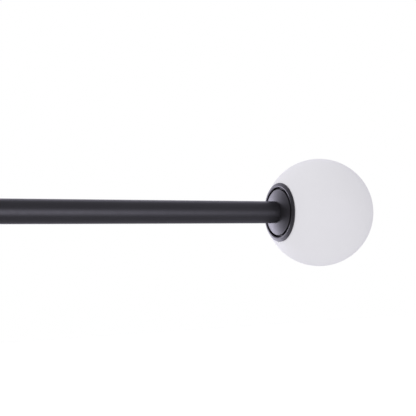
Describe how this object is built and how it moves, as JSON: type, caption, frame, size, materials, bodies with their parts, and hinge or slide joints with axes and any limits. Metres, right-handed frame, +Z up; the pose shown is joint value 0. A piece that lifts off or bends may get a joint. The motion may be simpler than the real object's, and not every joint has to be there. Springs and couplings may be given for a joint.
{
  "type": "curtain rod with brackets",
  "caption": "Telescopic black curtain rod with opal glass globe finials, held in two adjustable-projection wall brackets with U-shaped cradles.",
  "frame": {"origin": "on the wall plane, at the centre of the four wall-screw holes, midway between the two brackets and level with the rod", "axes": "+X along the rod towards the outer tube's finial, +Y into the wall (the rod is on the -Y side), +Z up"},
  "size_m": [1.2948, 0.14, 0.1],
  "materials": {
    "black_paint": "satin black powder coat",
    "opal_glass": "matt opal white, etched outside",
    "black_nylon": "matt moulded",
    "gasket": "matt translucent grey silicone",
    "black_screw": "black passivated, knurled",
    "bright_steel": "zinc-plated"
  },
  "bodies": {
    "wall_brackets": {"plate_screws": "bright_steel", "wall_plate_right": "black_paint", "wall_plate_left": "black_paint", "arm_sleeve_right": "black_paint", "arm_sleeve_left": "black_paint"},
    "arm_right": {"bracket_arm_right": "black_paint", "bracket_cradle_right": "black_paint", "cradle_screw_right": "bright_steel", "cradle_liner_right": "black_nylon"},
    "cover_right": {"plate_cover_right": "black_paint"},
    "arm_lock_right": {"arm_lock_screw_right": "black_screw"},
    "rod_lock_right": {"rod_lock_screw_right": "black_screw"},
    "cap_right": {"finial_cap_right": "black_paint"},
    "globe_right": {"finial_collar_right": "black_paint", "finial_gasket_right": "gasket", "finial_globe_right": "opal_glass", "finial_bolt_right": "bright_steel", "globe_clips_right": "bright_steel", "clip_screws_right": "bright_steel"},
    "arm_left": {"bracket_arm_left": "black_paint", "bracket_cradle_left": "black_paint", "cradle_screw_left": "bright_steel", "cradle_liner_left": "black_nylon"},
    "cover_left": {"plate_cover_left": "black_paint"},
    "arm_lock_left": {"arm_lock_screw_left": "black_screw"},
    "rod_lock_left": {"rod_lock_screw_left": "black_screw"},
    "cap_left": {"finial_cap_left": "black_paint"},
    "globe_left": {"finial_collar_left": "black_paint", "finial_gasket_left": "gasket", "finial_globe_left": "opal_glass", "finial_bolt_left": "bright_steel", "globe_clips_left": "bright_steel", "clip_screws_left": "bright_steel"},
    "outer_rod": {"outer_rod_tube": "black_paint", "outer_rod_plug": "bright_steel", "telescope_bush": "black_nylon"},
    "inner_rod": {"inner_rod_tube": "black_paint", "inner_rod_plug": "bright_steel", "telescope_slider": "black_nylon"}
  },
  "joints": [
    {"name": "arm_right_slide", "type": "slide", "parent": "wall_brackets", "child": "arm_right", "axis": [0, -1, 0], "range_m": [0, 0.025]},
    {"name": "arm_left_slide", "type": "slide", "parent": "wall_brackets", "child": "arm_left", "axis": [0, -1, 0], "range_m": [0, 0.025]},
    {"name": "rod_lift", "type": "slide", "parent": "arm_right", "child": "outer_rod", "axis": [0, 0, 1], "range_m": [0, 0.04]},
    {"name": "rod_telescope", "type": "slide", "parent": "outer_rod", "child": "inner_rod", "axis": [-1, 0, 0], "range_m": [-0.26, 0.119]},
    {"name": "cover_right_slide", "type": "slide", "parent": "wall_brackets", "child": "cover_right", "axis": [0, -1, 0], "range_m": [0, 0.025]},
    {"name": "arm_lock_right_screw", "type": "slide", "parent": "wall_brackets", "child": "arm_lock_right", "axis": [0, 0, -1], "range_m": [0, 0.003]},
    {"name": "rod_lock_right_screw", "type": "slide", "parent": "arm_right", "child": "rod_lock_right", "axis": [0, -1, 0], "range_m": [0, 0.004]},
    {"name": "finial_right_slide", "type": "slide", "parent": "outer_rod", "child": "cap_right", "axis": [1, 0, 0], "range_m": [0, 0.01]},
    {"name": "finial_right_turn", "type": "hinge", "parent": "cap_right", "child": "globe_right", "pos_m": [0.55, -0.09, 0], "axis": [1, 0, 0], "range_deg": [0, 2880]},
    {"name": "cover_left_slide", "type": "slide", "parent": "wall_brackets", "child": "cover_left", "axis": [0, -1, 0], "range_m": [0, 0.025]},
    {"name": "arm_lock_left_screw", "type": "slide", "parent": "wall_brackets", "child": "arm_lock_left", "axis": [0, 0, -1], "range_m": [0, 0.003]},
    {"name": "rod_lock_left_screw", "type": "slide", "parent": "arm_left", "child": "rod_lock_left", "axis": [0, -1, 0], "range_m": [0, 0.004]},
    {"name": "finial_left_slide", "type": "slide", "parent": "inner_rod", "child": "cap_left", "axis": [-1, 0, 0], "range_m": [0, 0.01]},
    {"name": "finial_left_turn", "type": "hinge", "parent": "cap_left", "child": "globe_left", "pos_m": [-0.55, -0.09, 0], "axis": [-1, 0, 0], "range_deg": [0, 2880]}
  ],
  "couplings": [
    {"joint": "arm_left_slide", "follows": "arm_right_slide", "ratio": 1},
    {"joint": "finial_right_slide", "follows": "finial_right_turn", "m_per_rad": 0.00019894},
    {"joint": "finial_left_slide", "follows": "finial_left_turn", "m_per_rad": 0.00019894}
  ]
}
